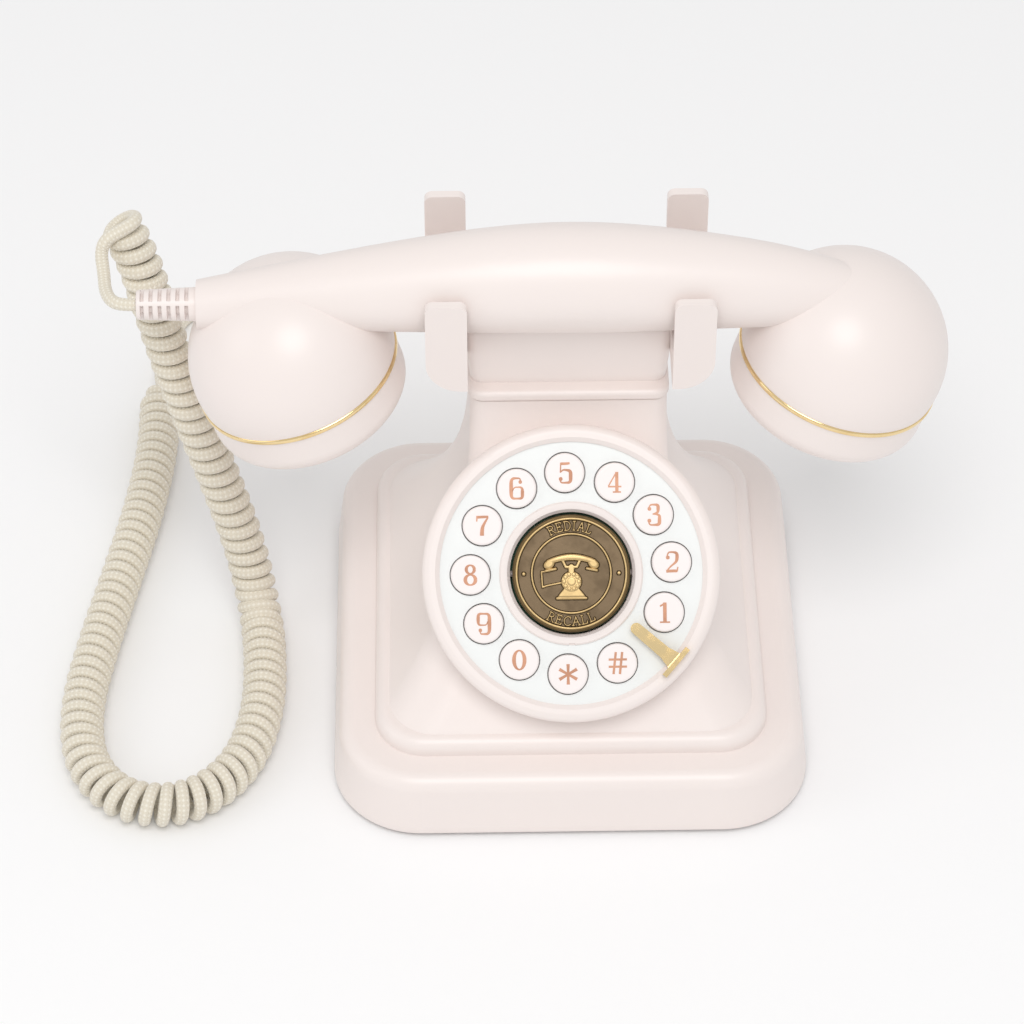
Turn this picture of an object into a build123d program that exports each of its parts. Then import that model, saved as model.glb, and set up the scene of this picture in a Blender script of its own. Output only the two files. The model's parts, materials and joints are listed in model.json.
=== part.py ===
"""A retro desk telephone: stepped base, bell-shaped pedestal, tilted dial face with twelve push
buttons, a four-pronged cradle and an arched handset on a curly cord. Millimetres, +Z up, +X to the
user's right, -Y towards the user, origin on the table under the middle of the base."""
from build123d import *
import math
import os

os.makedirs("parts", exist_ok=True)

# ---------------------------------------------------------------- driving dimensions
wall = 2.5                      # moulded plastic wall
gap = 0.3                       # running clearance between pieces that move

foot_height = 1.5               # the feet lift the base by this much
plate_thick = 3.0
base_width, base_depth, base_corner = 151.0, 160.0, 28.0
base_draft = 2.3                # how far each side leans in by the top of the slab
base_top = 23.5
tier_width, tier_depth, tier_corner = 124.0, 133.0, 16.0
tier_top = 29.0

neck_top = 107.0
neck_half, neck_front, neck_back = 31.0, 7.0, 38.0
flare_side, flare_back, flare_power = 26.5, 24.0, 2.8
slope_break, slope_ease = 100.0, 8.0   # height where the 45 degree front meets the neck, and how softly

dial_centre = (0, -34.7, 72.5)  # middle of the dial's white face
bezel_radius, lip_radius, drum_bore = 46.5, 41.0, 43.5
bezel_rise, drum_depth = 2.0, 46.0
plate_face_thick = 2.2
button_circle, button_radius, button_rise, button_travel = 31.4, 6.1, 2.0, 1.5
button_names = ["1", "2", "3", "4", "5", "6", "7", "8", "9", "0", "star", "hash"]
first_button_angle, last_button_angle = -23.4, 296.6
collar_radius, collar_bore, collar_rise, collar_depth = 22.4, 19.1, 1.0, 9.0
medallion_radius, medallion_low, medallion_high = 18.35, 0.8, 3.4
rocker_pivot = -6.0             # depth of the rocker's pins behind the dial face

cradle_centre = 22.5            # middle of the cradle, front to back
cradle_top = 133.3
prong_inner, prong_outer, prong_low, prong_high = 31.5, 44.3, 122.5, 157.0
prong_span, prong_thick, valley_floor = 54.6, 3.0, 133.9
prong_low_corner, prong_tip_corner, valley_corner = 11.0, 2.5, 5.0

handset_y, handset_z = 15.2, 151.2
cup_x, cup_z, cup_radius, cup_tilt = 86.0, 120.0, 32.5, 17.0
ring_low, ring_high, cap_face = 4.5, 6.4, 22.0

cord_diameter, curl_diameter = 4.2, 14.3


# ---------------------------------------------------------------- helpers
def write(shape, node):
    export_step(shape, f"parts/{node}.step")


def slab(width, depth, corner, low, high, middle=(0, 0)):
    """A block with rounded upright corners between two heights."""
    return extrude(Pos(middle[0], middle[1], low) * RectangleRounded(width, depth, corner), high - low)


def block(x0, x1, y0, y1, z0, z1):
    return Pos((x0 + x1) / 2, (y0 + y1) / 2, (z0 + z1) / 2) * Box(x1 - x0, y1 - y0, z1 - z0)


def rod(radius, low, high, x=0.0, y=0.0):
    """An upright cylinder at (x, y) between two heights."""
    return Pos(x, y, low) * Cylinder(radius, high - low, align=(Align.CENTER, Align.CENTER, Align.MIN))


def lathe(points):
    """A solid of revolution about Z from (radius, height) corners."""
    return revolve(Plane.XZ * make_face(Polyline(*points, close=True)), Axis.Z)


def top_edges(shape):
    return shape.faces().sort_by(Axis.Z)[-1].edges()


def bottom_edges(shape):
    return shape.faces().sort_by(Axis.Z)[0].edges()


def screw(x, y, head_low, head_radius=2.6, head_high=1.6, shank=1.2, length=9.0):
    """A round-headed screw standing head down, its shank pointing up."""
    head = rod(head_radius, head_low, head_low + head_high, x, y)
    return head + rod(shank, head_low, head_low + length, x, y)


def together(solids):
    return Compound(children=solids)


dial = Plane(origin=dial_centre, x_dir=(1, 0, 0), z_dir=(0, -1, 1))


# ---------------------------------------------------------------- base plate, feet, weights, screws
boss_places = [(x, y) for x in (-62, 62) for y in (-66, 66)]
foot_places = [(x, y) for x in (-50, 50) for y in (-64, 64)]
board_posts = [(x, y) for x in (-40, 40) for y in (15, 58)]
plate_low, plate_high = foot_height, foot_height + plate_thick
speaker_place = (0, -30)

base_plate = slab(base_width, base_depth, base_corner, plate_low, plate_high)
base_plate = fillet(bottom_edges(base_plate), 1.0)
for x, y in boss_places:
    base_plate -= rod(1.5, 0, plate_high + 1, x, y)
    base_plate -= rod(3.0, 0, plate_low + 1.7, x, y)
for x, y in foot_places:
    base_plate -= rod(6.2, 0, plate_low + 0.5, x, y)
for x, y in board_posts:
    base_plate += rod(3.0, plate_low + 1, 9.0, x, y)
    base_plate -= rod(1.3, plate_high, 9.5, x, y)
for slot in range(-3, 4):
    base_plate -= block(-11, 11, speaker_place[1] + slot * 4.5 - 0.9, speaker_place[1] + slot * 4.5 + 0.9, 0, 9)
write(base_plate, "base_plate")

write(together([rod(6.0, 0, plate_low + 0.5, x, y) for x, y in foot_places]), "rubber_feet")
write(together([screw(x, y, plate_low + 0.1, 2.7) for x, y in boss_places]), "base_screws")
write(together([block(min(s * 32, s * 60), max(s * 32, s * 60), -56, 4, plate_high, plate_high + 5)
                for s in (-1, 1)]), "base_weights")

# ---------------------------------------------------------------- body shell


def bell_section(z, inset=0.0):
    """The pedestal's outline at a height: it flares to the sides and back, and leans 45 degrees in front."""
    spread = ((neck_top - z) / (neck_top - tier_top)) ** flare_power
    below = slope_break - z
    run = 0.5 * (below + math.hypot(below, slope_ease))
    run_top = 0.5 * (slope_break - neck_top + math.hypot(slope_break - neck_top, slope_ease))
    half = neck_half + flare_side * spread - inset
    front = neck_front + run_top - run + 1.2 * inset
    back = neck_back + flare_back * spread - inset
    corner = 4.5 + 10.5 * (neck_top - z) / (neck_top - tier_top) - 0.6 * inset
    return Pos(0, (front + back) / 2, z) * RectangleRounded(2 * half, back - front, corner)


bell_heights = [27.0, 33.0, 40.0, 48.0, 58.0, 70.0, 83.0, 95.0, neck_top]
bell = loft([bell_section(z) for z in bell_heights])
bell_room = loft([bell_section(z, wall) for z in [24.0] + bell_heights[1:-1] + [neck_top - wall]])

skirt = loft([Pos(0, 0, plate_high) * RectangleRounded(base_width, base_depth, base_corner),
              Pos(0, 0, base_top) * RectangleRounded(base_width - 2 * base_draft, base_depth - 2 * base_draft,
                                                     base_corner - base_draft)])
skirt = fillet(top_edges(skirt), 5.0)
tier = fillet(top_edges(slab(tier_width, tier_depth, tier_corner, 18.0, tier_top)), 4.0)

drum = Pos(0, 0, bezel_rise) * Cylinder(bezel_radius, drum_depth + bezel_rise,
                                        align=(Align.CENTER, Align.CENTER, Align.MAX))
drum = fillet(top_edges(drum), bezel_rise + 0.6)
drum_room = Cylinder(drum_bore, drum_depth - wall, align=(Align.CENTER, Align.CENTER, Align.MAX))
mouth = lathe([(0, -0.5), (lip_radius, -0.5), (lip_radius, 0.7), (lip_radius + 1.5, bezel_rise + 0.1),
               (0, bezel_rise + 0.1)])

skirt_room = slab(base_width - 2 * (wall + base_draft), base_depth - 2 * (wall + base_draft),
                  base_corner - wall - base_draft, plate_high - 1, base_top - wall)
tier_room = slab(tier_width - 2 * wall - 2, tier_depth - 2 * wall - 2, tier_corner - wall, base_top - wall - 1,
                 tier_top - wall)

body_shell = skirt + tier + bell + dial * drum
body_shell -= skirt_room + tier_room + bell_room + dial * (drum_room + mouth)
for x, y in boss_places:
    body_shell += rod(4.0, plate_high, base_top - wall + 0.5, x, y)
    body_shell -= rod(1.3, plate_high - 1, plate_high + 10, x, y)

jack_size = (13.0, 15.0, 12.6)          # width, depth, height of the modular jacks
jack_middle_z, jack_back = 12.0, base_depth / 2 - 1.0
handset_jack_x, line_jack_x = -8.0, 26.0
for x in (handset_jack_x, line_jack_x):
    body_shell -= block(x - jack_size[0] / 2, x + jack_size[0] / 2, jack_back - 6, jack_back + 6,
                        jack_middle_z - jack_size[2] / 2, jack_middle_z + jack_size[2] / 2)

cradle_posts = [-12.0, 12.0]
stem_radius = 2.0
body_shell -= rod(stem_radius + 0.1, neck_top - 2 * wall, neck_top + 1, 0, cradle_centre)
for x in cradle_posts:
    body_shell -= rod(1.4, neck_top - 2 * wall, neck_top + 1, x, cradle_centre)
write(body_shell, "body_shell")

# ---------------------------------------------------------------- cradle with its four prongs
lip_high = neck_top + 4.0
lip = slab(2 * neck_half + 1.2, neck_back - neck_front + 1.2, 5.0, neck_top, lip_high, (0, cradle_centre))
lip = fillet(top_edges(lip) + bottom_edges(lip), 1.4)
head = loft([Pos(0, cradle_centre, lip_high - 2) * RectangleRounded(61, 22, 4),
             Pos(0, cradle_centre, cradle_top) * RectangleRounded(66, 22, 4)])
head = fillet(top_edges(head), 2.5)


def yoke(side):
    """One pair of prongs: a bar with a rounded outer underside and an upright plate at each end."""
    width = prong_outer - prong_inner
    outline = Rectangle(width, prong_high - prong_low)
    outer_low = outline.vertices().filter_by(lambda v: v.X * side > 0 and v.Y < 0)
    outline = fillet(outer_low, prong_low_corner)
    outline = fillet(outline.vertices().group_by(Axis.Y)[-1], prong_tip_corner)
    middle = (side * (prong_inner + prong_outer) / 2, cradle_centre + prong_span / 2,
              (prong_low + prong_high) / 2)
    bar = extrude(Plane(origin=middle, x_dir=(1, 0, 0), z_dir=(0, -1, 0)) * outline, prong_span)
    valley = block(-50, 50, cradle_centre - prong_span / 2 + prong_thick,
                   cradle_centre + prong_span / 2 - prong_thick, valley_floor, prong_high + 20)
    valley = fillet(valley.edges().filter_by(Axis.X).group_by(Axis.Z)[0], valley_corner)
    return bar - valley


cradle = lip + head + yoke(-1) + yoke(1)
cradle -= block(-28, 28, cradle_centre - 8.5, cradle_centre + 8.5, neck_top - 1, cradle_top - wall)
for x in cradle_posts:
    cradle += rod(3.0, neck_top, cradle_top - wall + 0.5, x, cradle_centre)
    cradle -= rod(1.3, neck_top - 1, neck_top + 9, x, cradle_centre)
pin_x, pin_radius = 21.5, 2.3
for x in (-pin_x, pin_x):
    cradle -= rod(pin_radius + gap, cradle_top - 2 * wall, cradle_top + 1, x, cradle_centre)
write(cradle, "cradle")

# ---------------------------------------------------------------- hook switch inside the neck
bar_low, bar_high, stem_low, pin_high = 118.0, 121.5, 98.2, 133.8
plunger = block(-25, 25, cradle_centre - 5.5, cradle_centre + 5.5, bar_low, bar_high)
for x in cradle_posts:
    plunger -= rod(3.0 + gap, bar_low - 1, bar_high + 1, x, cradle_centre)
for x in (-pin_x, pin_x):
    plunger += rod(pin_radius, bar_high - 1, pin_high, x, cradle_centre)
plunger += rod(stem_radius, stem_low, bar_low + 1, 0, cradle_centre)
write(plunger, "hook_plunger")

spring_radius, spring_wire = 3.4, 0.3
spring_path = Pos(0, cradle_centre, neck_top + spring_wire + 0.05) * Helix(
    pitch=1.9, height=bar_low - neck_top - 2 * spring_wire - 0.1, radius=spring_radius)
spring = sweep(Plane(origin=spring_path @ 0, z_dir=spring_path % 0) * Circle(spring_wire), path=spring_path)
write(spring, "hook_spring")

flange_low = neck_top - wall - 1.5
bracket = block(-15, 15, cradle_centre - 3, cradle_centre + 4.8, flange_low, neck_top - wall)
bracket += block(-9, 9, cradle_centre + 3.3, cradle_centre + 4.8, 87, neck_top - wall)
bracket -= rod(stem_radius + 0.6, flange_low - 1, neck_top, 0, cradle_centre)
for x in cradle_posts:
    bracket -= rod(1.4, flange_low - 1, neck_top, x, cradle_centre)
write(bracket, "hook_bracket")

switch = block(-10, 10, cradle_centre - 3.2, cradle_centre + 3.2, 87.5, 97.0)
switch += rod(1.3, 96, stem_low - gap, 0, cradle_centre)
write(switch, "hook_switch")
write(together([screw(x, cradle_centre, flange_low - 1.6, 2.4, 1.6, 1.2, 12.5) for x in cradle_posts]),
      "cradle_screws")

# ---------------------------------------------------------------- dial face: plate, collar, rocker, medallion
angle_step = (last_button_angle - first_button_angle) / (len(button_names) - 1)
button_places = [PolarLocations(button_circle, 1, first_button_angle + angle_step * i).locations[0].position
                 for i in range(len(button_names))]
post_angles = [first_button_angle + angle_step * (i + 0.5) for i in (0, 3, 6, 9)]
post_places = [PolarLocations(40.4, 1, a).locations[0].position for a in post_angles]
board_front, board_back = -9.6, -11.2

dial_plate = rod(drum_bore - gap, -plate_face_thick, 0)
for place in button_places:
    dial_plate -= rod(button_radius + 0.4, -5, 1, place.X, place.Y)
dial_plate -= rod(collar_radius, -5, 1)
for place in post_places:
    dial_plate += rod(1.9, board_front, -1, place.X, place.Y)
    dial_plate -= rod(0.9, board_front - 1, -3, place.X, place.Y)
write(dial * dial_plate, "dial_plate")

collar = lathe([(collar_bore, -collar_depth), (collar_radius, -collar_depth),
                (collar_radius, collar_rise - 0.5), (collar_radius - 0.5, collar_rise),
                (collar_bore + 0.9, collar_rise), (collar_bore, 0.1)])
collar -= block(-0.9, 0.9, -collar_radius - 1, -collar_radius + 0.6, 0.2, 3)
pin = Plane(origin=(0, 0, rocker_pivot), x_dir=(0, 1, 0), z_dir=(1, 0, 0))
collar -= pin * Cylinder(1.05, 2 * collar_radius - 1.0)
write(dial * collar, "centre_collar")

rocker = rod(18.0, -7.5, medallion_low) + pin * Cylinder(1.0, 2 * collar_radius - 1.6)
write(dial * rocker, "redial_rocker")

medallion = fillet(top_edges(rod(medallion_radius, medallion_low, medallion_high)), 0.8)
medallion_floor = medallion_high - 0.5
medallion -= rod(17.0, medallion_floor, medallion_high + 1)
inner_ring = rod(12.4, medallion_floor - 0.1, medallion_high - 0.1)
medallion += inner_ring - rod(11.6, medallion_floor - 0.5, medallion_high)
write(dial * medallion, "medallion")

for name, place in zip(button_names, button_places):
    cap = fillet(top_edges(rod(button_radius, -3.0, button_rise)), 0.6)
    cap += rod(button_radius + 1.1, -3.7, -2.6) + rod(2.0, -6.5, -3.0)
    write(dial * Pos(place.X, place.Y, 0) * cap, f"key_{name}")

mat = rod(39.0, board_front, -8.3) - rod(23.2, board_front - 1, 0)
for place in post_places:
    mat -= rod(2.3, board_front - 1, 0, place.X, place.Y)
write(dial * mat, "keypad_mat")

board = rod(42.6, board_back, board_front)
for place in post_places:
    board -= rod(1.2, board_back - 1, board_front + 1, place.X, place.Y)
write(dial * board, "keypad_board")
switch_front, switch_reach = -8.7, 13.5
write(together([dial * block(-3, 3, y - 3, y + 3, board_front, switch_front)
                for y in (-switch_reach, switch_reach)]), "redial_switches")
write(together([dial * screw(p.X, p.Y, board_back - 1.2, 1.8, 1.2, 0.8, 6.5) for p in post_places]),
      "keypad_screws")

# ---------------------------------------------------------------- finger stop between # and 1
stop_angle, stop_inner, stop_outer = -41.0, 26.5, 42.0
arm_outline = make_face(Polyline((stop_inner, -1.8), (stop_outer - 4, -2.0), (stop_outer, -2.9),
                                 (stop_outer, 2.9), (stop_outer - 4, 2.0), (stop_inner, 1.8), close=True))
arm = extrude(Pos(0, 0, 2.2) * arm_outline, 1.0) + Pos(stop_inner, 0, 2.2) * rod(1.8, 0, 1.0)
arm += Pos(stop_inner + 0.4, 0, 0) * rod(1.2, 0, 3.0)
arm += block(stop_outer - 0.2, stop_outer + 1.4, -5.6, 5.6, bezel_rise + 0.1, bezel_rise + 3.0)
write(dial * Rot(0, 0, stop_angle) * arm, "finger_stop")

# ---------------------------------------------------------------- electronics in the base
board_low, board_high = 9.0, 10.6
main_board = block(-45, 45, 10, 62.5, board_low, board_high)
for x, y in board_posts:
    main_board -= rod(1.5, board_low - 1, board_high + 1, x, y)
write(main_board, "main_board")
write(together([rod(2.4, board_high, board_high + 1.4, x, y) + rod(1.1, board_high - 5.5, board_high + 1, x, y)
                for x, y in board_posts]), "main_board_screws")

speaker = lathe([(0, plate_high), (20, plate_high), (20, plate_high + 2.5), (15, plate_high + 4),
                 (11, plate_high + 7.5), (0, plate_high + 7.5)])
write(Pos(speaker_place[0], speaker_place[1], 0) * speaker, "ringer_speaker")


def jack(x, socket_width, socket_height):
    """A modular socket, open to the back."""
    body = block(x - jack_size[0] / 2, x + jack_size[0] / 2, jack_back - jack_size[1], jack_back,
                 jack_middle_z - jack_size[2] / 2, jack_middle_z + jack_size[2] / 2)
    return body - block(x - socket_width / 2, x + socket_width / 2, jack_back - 12, jack_back + 1,
                        jack_middle_z - socket_height / 2, jack_middle_z + socket_height / 2)


plug_width, plug_height = 7.7, 6.4
write(jack(handset_jack_x, plug_width + 0.3, plug_height + 0.3), "handset_jack")
write(jack(line_jack_x, 9.9, 6.9), "line_jack")

# ---------------------------------------------------------------- handset
grip_end, grip_middle_radius, grip_end_radius, grip_end_z = -114.5, 17.0, 7.6, 142.0
grip_places = [grip_end, -100, -85, -70, -54, -38, -20, 0, 20, 38, 54, 70, 85, 99]


def grip_shape(x):
    """Radius and height of the grip's middle line: hyperbolas, with a droop that sinks the right end."""
    narrowing = (math.hypot(1, x / 40) - 1) / (math.hypot(1, grip_end / 40) - 1)
    falling = (math.hypot(1, x / 48) - 1) / (math.hypot(1, grip_end / 48) - 1)
    droop = max(0.0, (x - 54) / 45) ** 2
    radius = grip_middle_radius - (grip_middle_radius - grip_end_radius) * narrowing - 1.3 * droop
    return radius, handset_z - (handset_z - grip_end_z) * falling - 4.7 * droop


def grip(thinner=0.0, shorter=0.0):
    """The arched grip: circles across the handset, fattest in the middle."""
    sections = []
    for x in grip_places:
        radius, z = grip_shape(x)
        plane = Plane(origin=(max(x, grip_end + shorter), handset_y, z), x_dir=(0, 1, 0), z_dir=(1, 0, 0))
        sections.append(plane * Circle(radius - thinner))
    return loft(sections)


def cup_plane(side):
    """A cup's own frame: its origin at the ball's centre, its axis pointing down and a little inwards."""
    lean = math.radians(cup_tilt)
    return Plane(origin=(side * cup_x, handset_y, cup_z), x_dir=(0, 1, 0),
                 z_dir=(-side * math.sin(lean), 0, -math.cos(lean)))


handset_shell = grip()
for side in (-1, 1):
    handset_shell += Pos(side * cup_x, handset_y, cup_z) * Sphere(cup_radius)
handset_shell -= grip(wall, wall)
for side in (-1, 1):
    handset_shell -= Pos(side * cup_x, handset_y, cup_z) * Sphere(cup_radius - wall)
    handset_shell -= cup_plane(side) * rod(cup_radius + 3, ring_low, 60)
outlet = Plane(origin=(grip_end, handset_y, grip_end_z), x_dir=(0, 1, 0), z_dir=(-1, 0, 0))
handset_shell -= outlet * rod(3.6, -6, 1)
write(handset_shell, "handset_shell")

ring_radius = math.sqrt(cup_radius ** 2 - ring_low ** 2)
for side, name in ((-1, "mouth"), (1, "ear")):
    band = rod(ring_radius + 0.4, ring_low, ring_high) - rod(ring_radius - wall, 0, 20)
    band = fillet(band.edges().filter_by(GeomType.CIRCLE).group_by(SortBy.RADIUS)[-1], 0.7)
    write(cup_plane(side) * band, f"{name}_ring")
    cap = rod(ring_radius - 0.3, ring_high, cap_face)
    cap = fillet(top_edges(cap), 7.0)
    cap -= rod(ring_radius - 0.3 - wall, ring_high - 1, cap_face - wall)
    holes = [(0, 0)] + [(9 * math.cos(a), 9 * math.sin(a)) for a in [math.radians(60 * i) for i in range(6)]]
    for x, y in holes:
        cap -= rod(1.4, cap_face - wall - 1, cap_face + 1, x, y)
    write(cup_plane(side) * cap, f"{name}_cap")
write(cup_plane(1) * rod(18, 8, cap_face - wall), "receiver_capsule")
write(cup_plane(-1) * (rod(5, 9.5, cap_face - wall) + rod(7.5, 9.5, 11.5)), "microphone_capsule")
write(block(-35, 35, handset_y - 5, handset_y + 5, handset_z - 12.4, handset_z - 4.4), "handset_weight")

# ---------------------------------------------------------------- strain relief on the handset's left end
relief_length, relief_root, relief_tip = 18.5, 4.75, 4.0
relief = lathe([(0, -5), (4.5, -5), (4.5, -2.6), (3.5, -2.6), (3.5, 0), (relief_root, 0),
                (relief_tip, relief_length), (0, relief_length)])
for i in range(6):
    low = 3.0 + 2.5 * i
    groove = rod(7, low, low + 1.4) - rod(2.7, low - 1, low + 3)
    ribs = block(-9, 9, -0.9, 0.9, low - 1, low + 3) + block(-0.9, 0.9, -9, 9, low - 1, low + 3)
    relief -= groove - Rot(0, 0, 45) * ribs
write(outlet * relief, "strain_relief")

# ---------------------------------------------------------------- handset cord


def tube(points, diameter, node):
    """A cord's solid: straight runs joined by arcs that use 0.45 of the shorter run beside each corner."""
    corners = [Vector(*p) for p in points]
    radii = []
    for before, here, after in zip(corners, corners[1:], corners[2:]):
        turn = math.radians((here - before).get_angle(after - here))
        run = min((here - before).length, (after - here).length)
        radii.append(0.45 * run / math.tan(turn / 2))
    path = FilletPolyline(*corners, radius=radii)
    solid = sweep(Plane(origin=path @ 0, z_dir=path % 0) * Circle(diameter / 2), path=path)
    expected = math.pi * diameter ** 2 / 4 * path.length
    print(f"{node}: length {path.length:.0f}, volume ratio {solid.volume / expected:.4f}, radii",
          [round(r) for r in radii])
    write(solid, node)


tip = (grip_end - relief_length, handset_y, grip_end_z)
curl_start = (-138.3, 42.6, 150.5)
curl_floor = 7.2                # height of the coil's middle where it lies on the table
cord_floor = 2.15
curl_end = (-139.0, 122.0, curl_floor)
plug_back = (handset_jack_x, jack_back + 8.0, jack_middle_z)

lead_route = [tip, (-140.5, handset_y, grip_end_z), (-147.5, 20.5, 142.0), (-151.0, 28.0, 145.0),
              (-151.5, 35.0, 150.5), (-148.5, 41.5, 155.5), (-141.0, 43.7, 157.9), curl_start]
curl_route = [curl_start, (-134.3, 41.0, 139.6), (-130.6, 38.3, 123.5), (-126.0, 34.8, 103.5),
              (-119.8, 31.2, 80.0), (-112.0, 27.0, 54.0), (-105.0, 22.5, 28.0), (-101.0, 14.0, curl_floor),
              (-98.5, -8.0, curl_floor), (-98.8, -34.0, curl_floor), (-105.5, -57.0, curl_floor),
              (-121.5, -71.5, curl_floor), (-141.5, -70.5, curl_floor), (-155.0, -55.0, curl_floor),
              (-158.0, -30.0, curl_floor), (-153.5, 0.0, curl_floor), (-147.5, 30.0, curl_floor),
              (-141.5, 62.0, curl_floor), (-138.0, 94.0, curl_floor), curl_end]
tail_route = [curl_end, (-139.5, 136.0, curl_floor), (-137.0, 153.0, cord_floor), (-130.5, 166.5, cord_floor),
              (-113.0, 173.5, cord_floor), (-84.0, 176.0, cord_floor), (-55.0, 177.5, cord_floor),
              (-28.0, 169.0, cord_floor), (-10.0, 147.0, cord_floor), (-5.5, 121.0, 4.0),
              (handset_jack_x, 103.0, jack_middle_z), plug_back]
tube(lead_route, cord_diameter, "handset_cord_lead")
tube(curl_route, curl_diameter, "handset_cord_curl")
tube(tail_route, cord_diameter, "handset_cord_tail")

plug = block(handset_jack_x - plug_width / 2, handset_jack_x + plug_width / 2, jack_back - 11, jack_back + 1.5,
             jack_middle_z - plug_height / 2, jack_middle_z + plug_height / 2)
plug += block(handset_jack_x - 3, handset_jack_x + 3, jack_back + 1, plug_back[1],
              jack_middle_z - 2.3, jack_middle_z + 2.3)
write(plug, "cord_plug")
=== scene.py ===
# %% [markdown]
# # A retro desk telephone
# The phone is built elsewhere as exact solids: casings, buttons, screws and springs, each one already in
# its place. This lesson gives it its looks. It keeps every exact solid whose shape is right, and makes new
# surfaces where a solid is too plain: the curly cord and its slotted sleeve, the printed numerals and the
# bronze medallion. First the solids are loaded.

# %% Load the phone
import json
import math

import bpy
import numpy as np
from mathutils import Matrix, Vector


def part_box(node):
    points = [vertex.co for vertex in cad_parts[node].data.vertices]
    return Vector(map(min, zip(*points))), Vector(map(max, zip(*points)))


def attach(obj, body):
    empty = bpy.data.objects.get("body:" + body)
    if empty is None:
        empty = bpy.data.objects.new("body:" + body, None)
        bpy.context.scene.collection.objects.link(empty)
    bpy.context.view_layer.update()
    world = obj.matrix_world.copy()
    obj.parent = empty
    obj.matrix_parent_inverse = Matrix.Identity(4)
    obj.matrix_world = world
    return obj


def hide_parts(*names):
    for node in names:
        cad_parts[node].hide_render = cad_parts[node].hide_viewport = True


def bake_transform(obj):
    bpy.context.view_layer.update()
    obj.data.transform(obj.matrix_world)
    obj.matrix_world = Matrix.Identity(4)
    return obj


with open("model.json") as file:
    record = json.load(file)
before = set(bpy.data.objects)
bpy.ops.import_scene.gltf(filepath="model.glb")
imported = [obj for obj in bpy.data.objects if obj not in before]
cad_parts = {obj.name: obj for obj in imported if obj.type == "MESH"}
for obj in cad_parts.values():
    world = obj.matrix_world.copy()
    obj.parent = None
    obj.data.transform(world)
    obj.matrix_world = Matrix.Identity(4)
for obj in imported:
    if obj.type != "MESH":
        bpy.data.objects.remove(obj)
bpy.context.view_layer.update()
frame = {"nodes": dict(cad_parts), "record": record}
scene = bpy.context.scene
MM = 0.001

# %% [markdown]
# ## The dial's own axes
# The dial face leans back at 45 degrees, and most of the fine work happens on it. It is easier to draw
# on a tilted face in the face's own axes: right, up the slope, and out towards the user. The rocker's
# hinge lies 6 mm behind the middle of the face, so the middle is found from that joint.

# %% Axes of the dial face
ROCKER_DEPTH = 6 * MM
DIAL_RIGHT = np.array([1.0, 0.0, 0.0])
DIAL_UP = np.array([0.0, 1.0, 1.0]) / math.sqrt(2)
DIAL_OUT = np.array([0.0, -1.0, 1.0]) / math.sqrt(2)
joints = {j["name"]: j for j in frame["record"]["behaviour"]["joints"]}
DIAL_CENTRE = np.array(joints["redial_rock"]["pos_m"]) + ROCKER_DEPTH * DIAL_OUT


def on_dial(across, up, out):
    """Points on the face: the centre plus so far right, so far up the slope and so far out."""
    across, up, out = np.broadcast_arrays(across, up, out)
    return (DIAL_CENTRE + across[..., None] * DIAL_RIGHT + up[..., None] * DIAL_UP
            + out[..., None] * DIAL_OUT)


print("dial centre in mm:", np.round(DIAL_CENTRE / MM, 1))

# %% [markdown]
# ## Camera
# A product picture is taken with a long lens from far back, which keeps the base and the handset in
# proportion. The camera looks down at 45 degrees, straight into the dial, and aims a little left of
# the phone so that the cord's loop is in the frame too.

# %% Camera
CAMERA_AZIMUTH, CAMERA_HEIGHT = math.radians(-1.0), math.radians(45.0)
CAMERA_DISTANCE = 1.25
SENSOR_WIDE_MM, FOCAL_LENGTH_MM = 36.0, 139.5
AIM = Vector((-18.0, -10.7, 75.8)) * MM
camera_data = bpy.data.cameras.new("camera")
camera_data.sensor_width = SENSOR_WIDE_MM
camera_data.lens = FOCAL_LENGTH_MM
camera = bpy.data.objects.new("camera", camera_data)
scene.collection.objects.link(camera)
backwards = Vector((math.sin(CAMERA_AZIMUTH) * math.cos(CAMERA_HEIGHT),
                    -math.cos(CAMERA_AZIMUTH) * math.cos(CAMERA_HEIGHT), math.sin(CAMERA_HEIGHT)))
camera.location = AIM + CAMERA_DISTANCE * backwards
camera.rotation_euler = (-backwards).to_track_quat("-Z", "Y").to_euler()
scene.camera = camera
print("camera stands at", [round(v, 3) for v in camera.location])

# %% [markdown]
# ## Floor and light
# White goods on white need light that wraps round them. A bright even surround does most of it, one
# large soft panel above the camera shapes the curves, and a weaker one from the left keeps the two
# sides from looking the same. Colours are shown as they are, with no film curve.

# %% Floor, surround and panels
scene.view_settings.view_transform = "Standard"
scene.view_settings.look = "None"


def link(mesh_name, mesh):
    """A new object for a mesh, at the origin, unturned and unscaled."""
    piece = bpy.data.objects.new(mesh_name, mesh)
    scene.collection.objects.link(piece)
    return piece


def soft_panel(name, place, aim, size, power):
    """A round area light, size metres across and power watts, that shines from place towards aim."""
    data = bpy.data.lights.new(name, "AREA")
    data.shape = "DISK"
    data.size = size
    data.energy = power
    panel = bpy.data.objects.new(name, data)
    scene.collection.objects.link(panel)
    panel.location = place
    panel.rotation_euler = (Vector(place) - Vector(aim)).to_track_quat("Z", "Y").to_euler()


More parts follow.
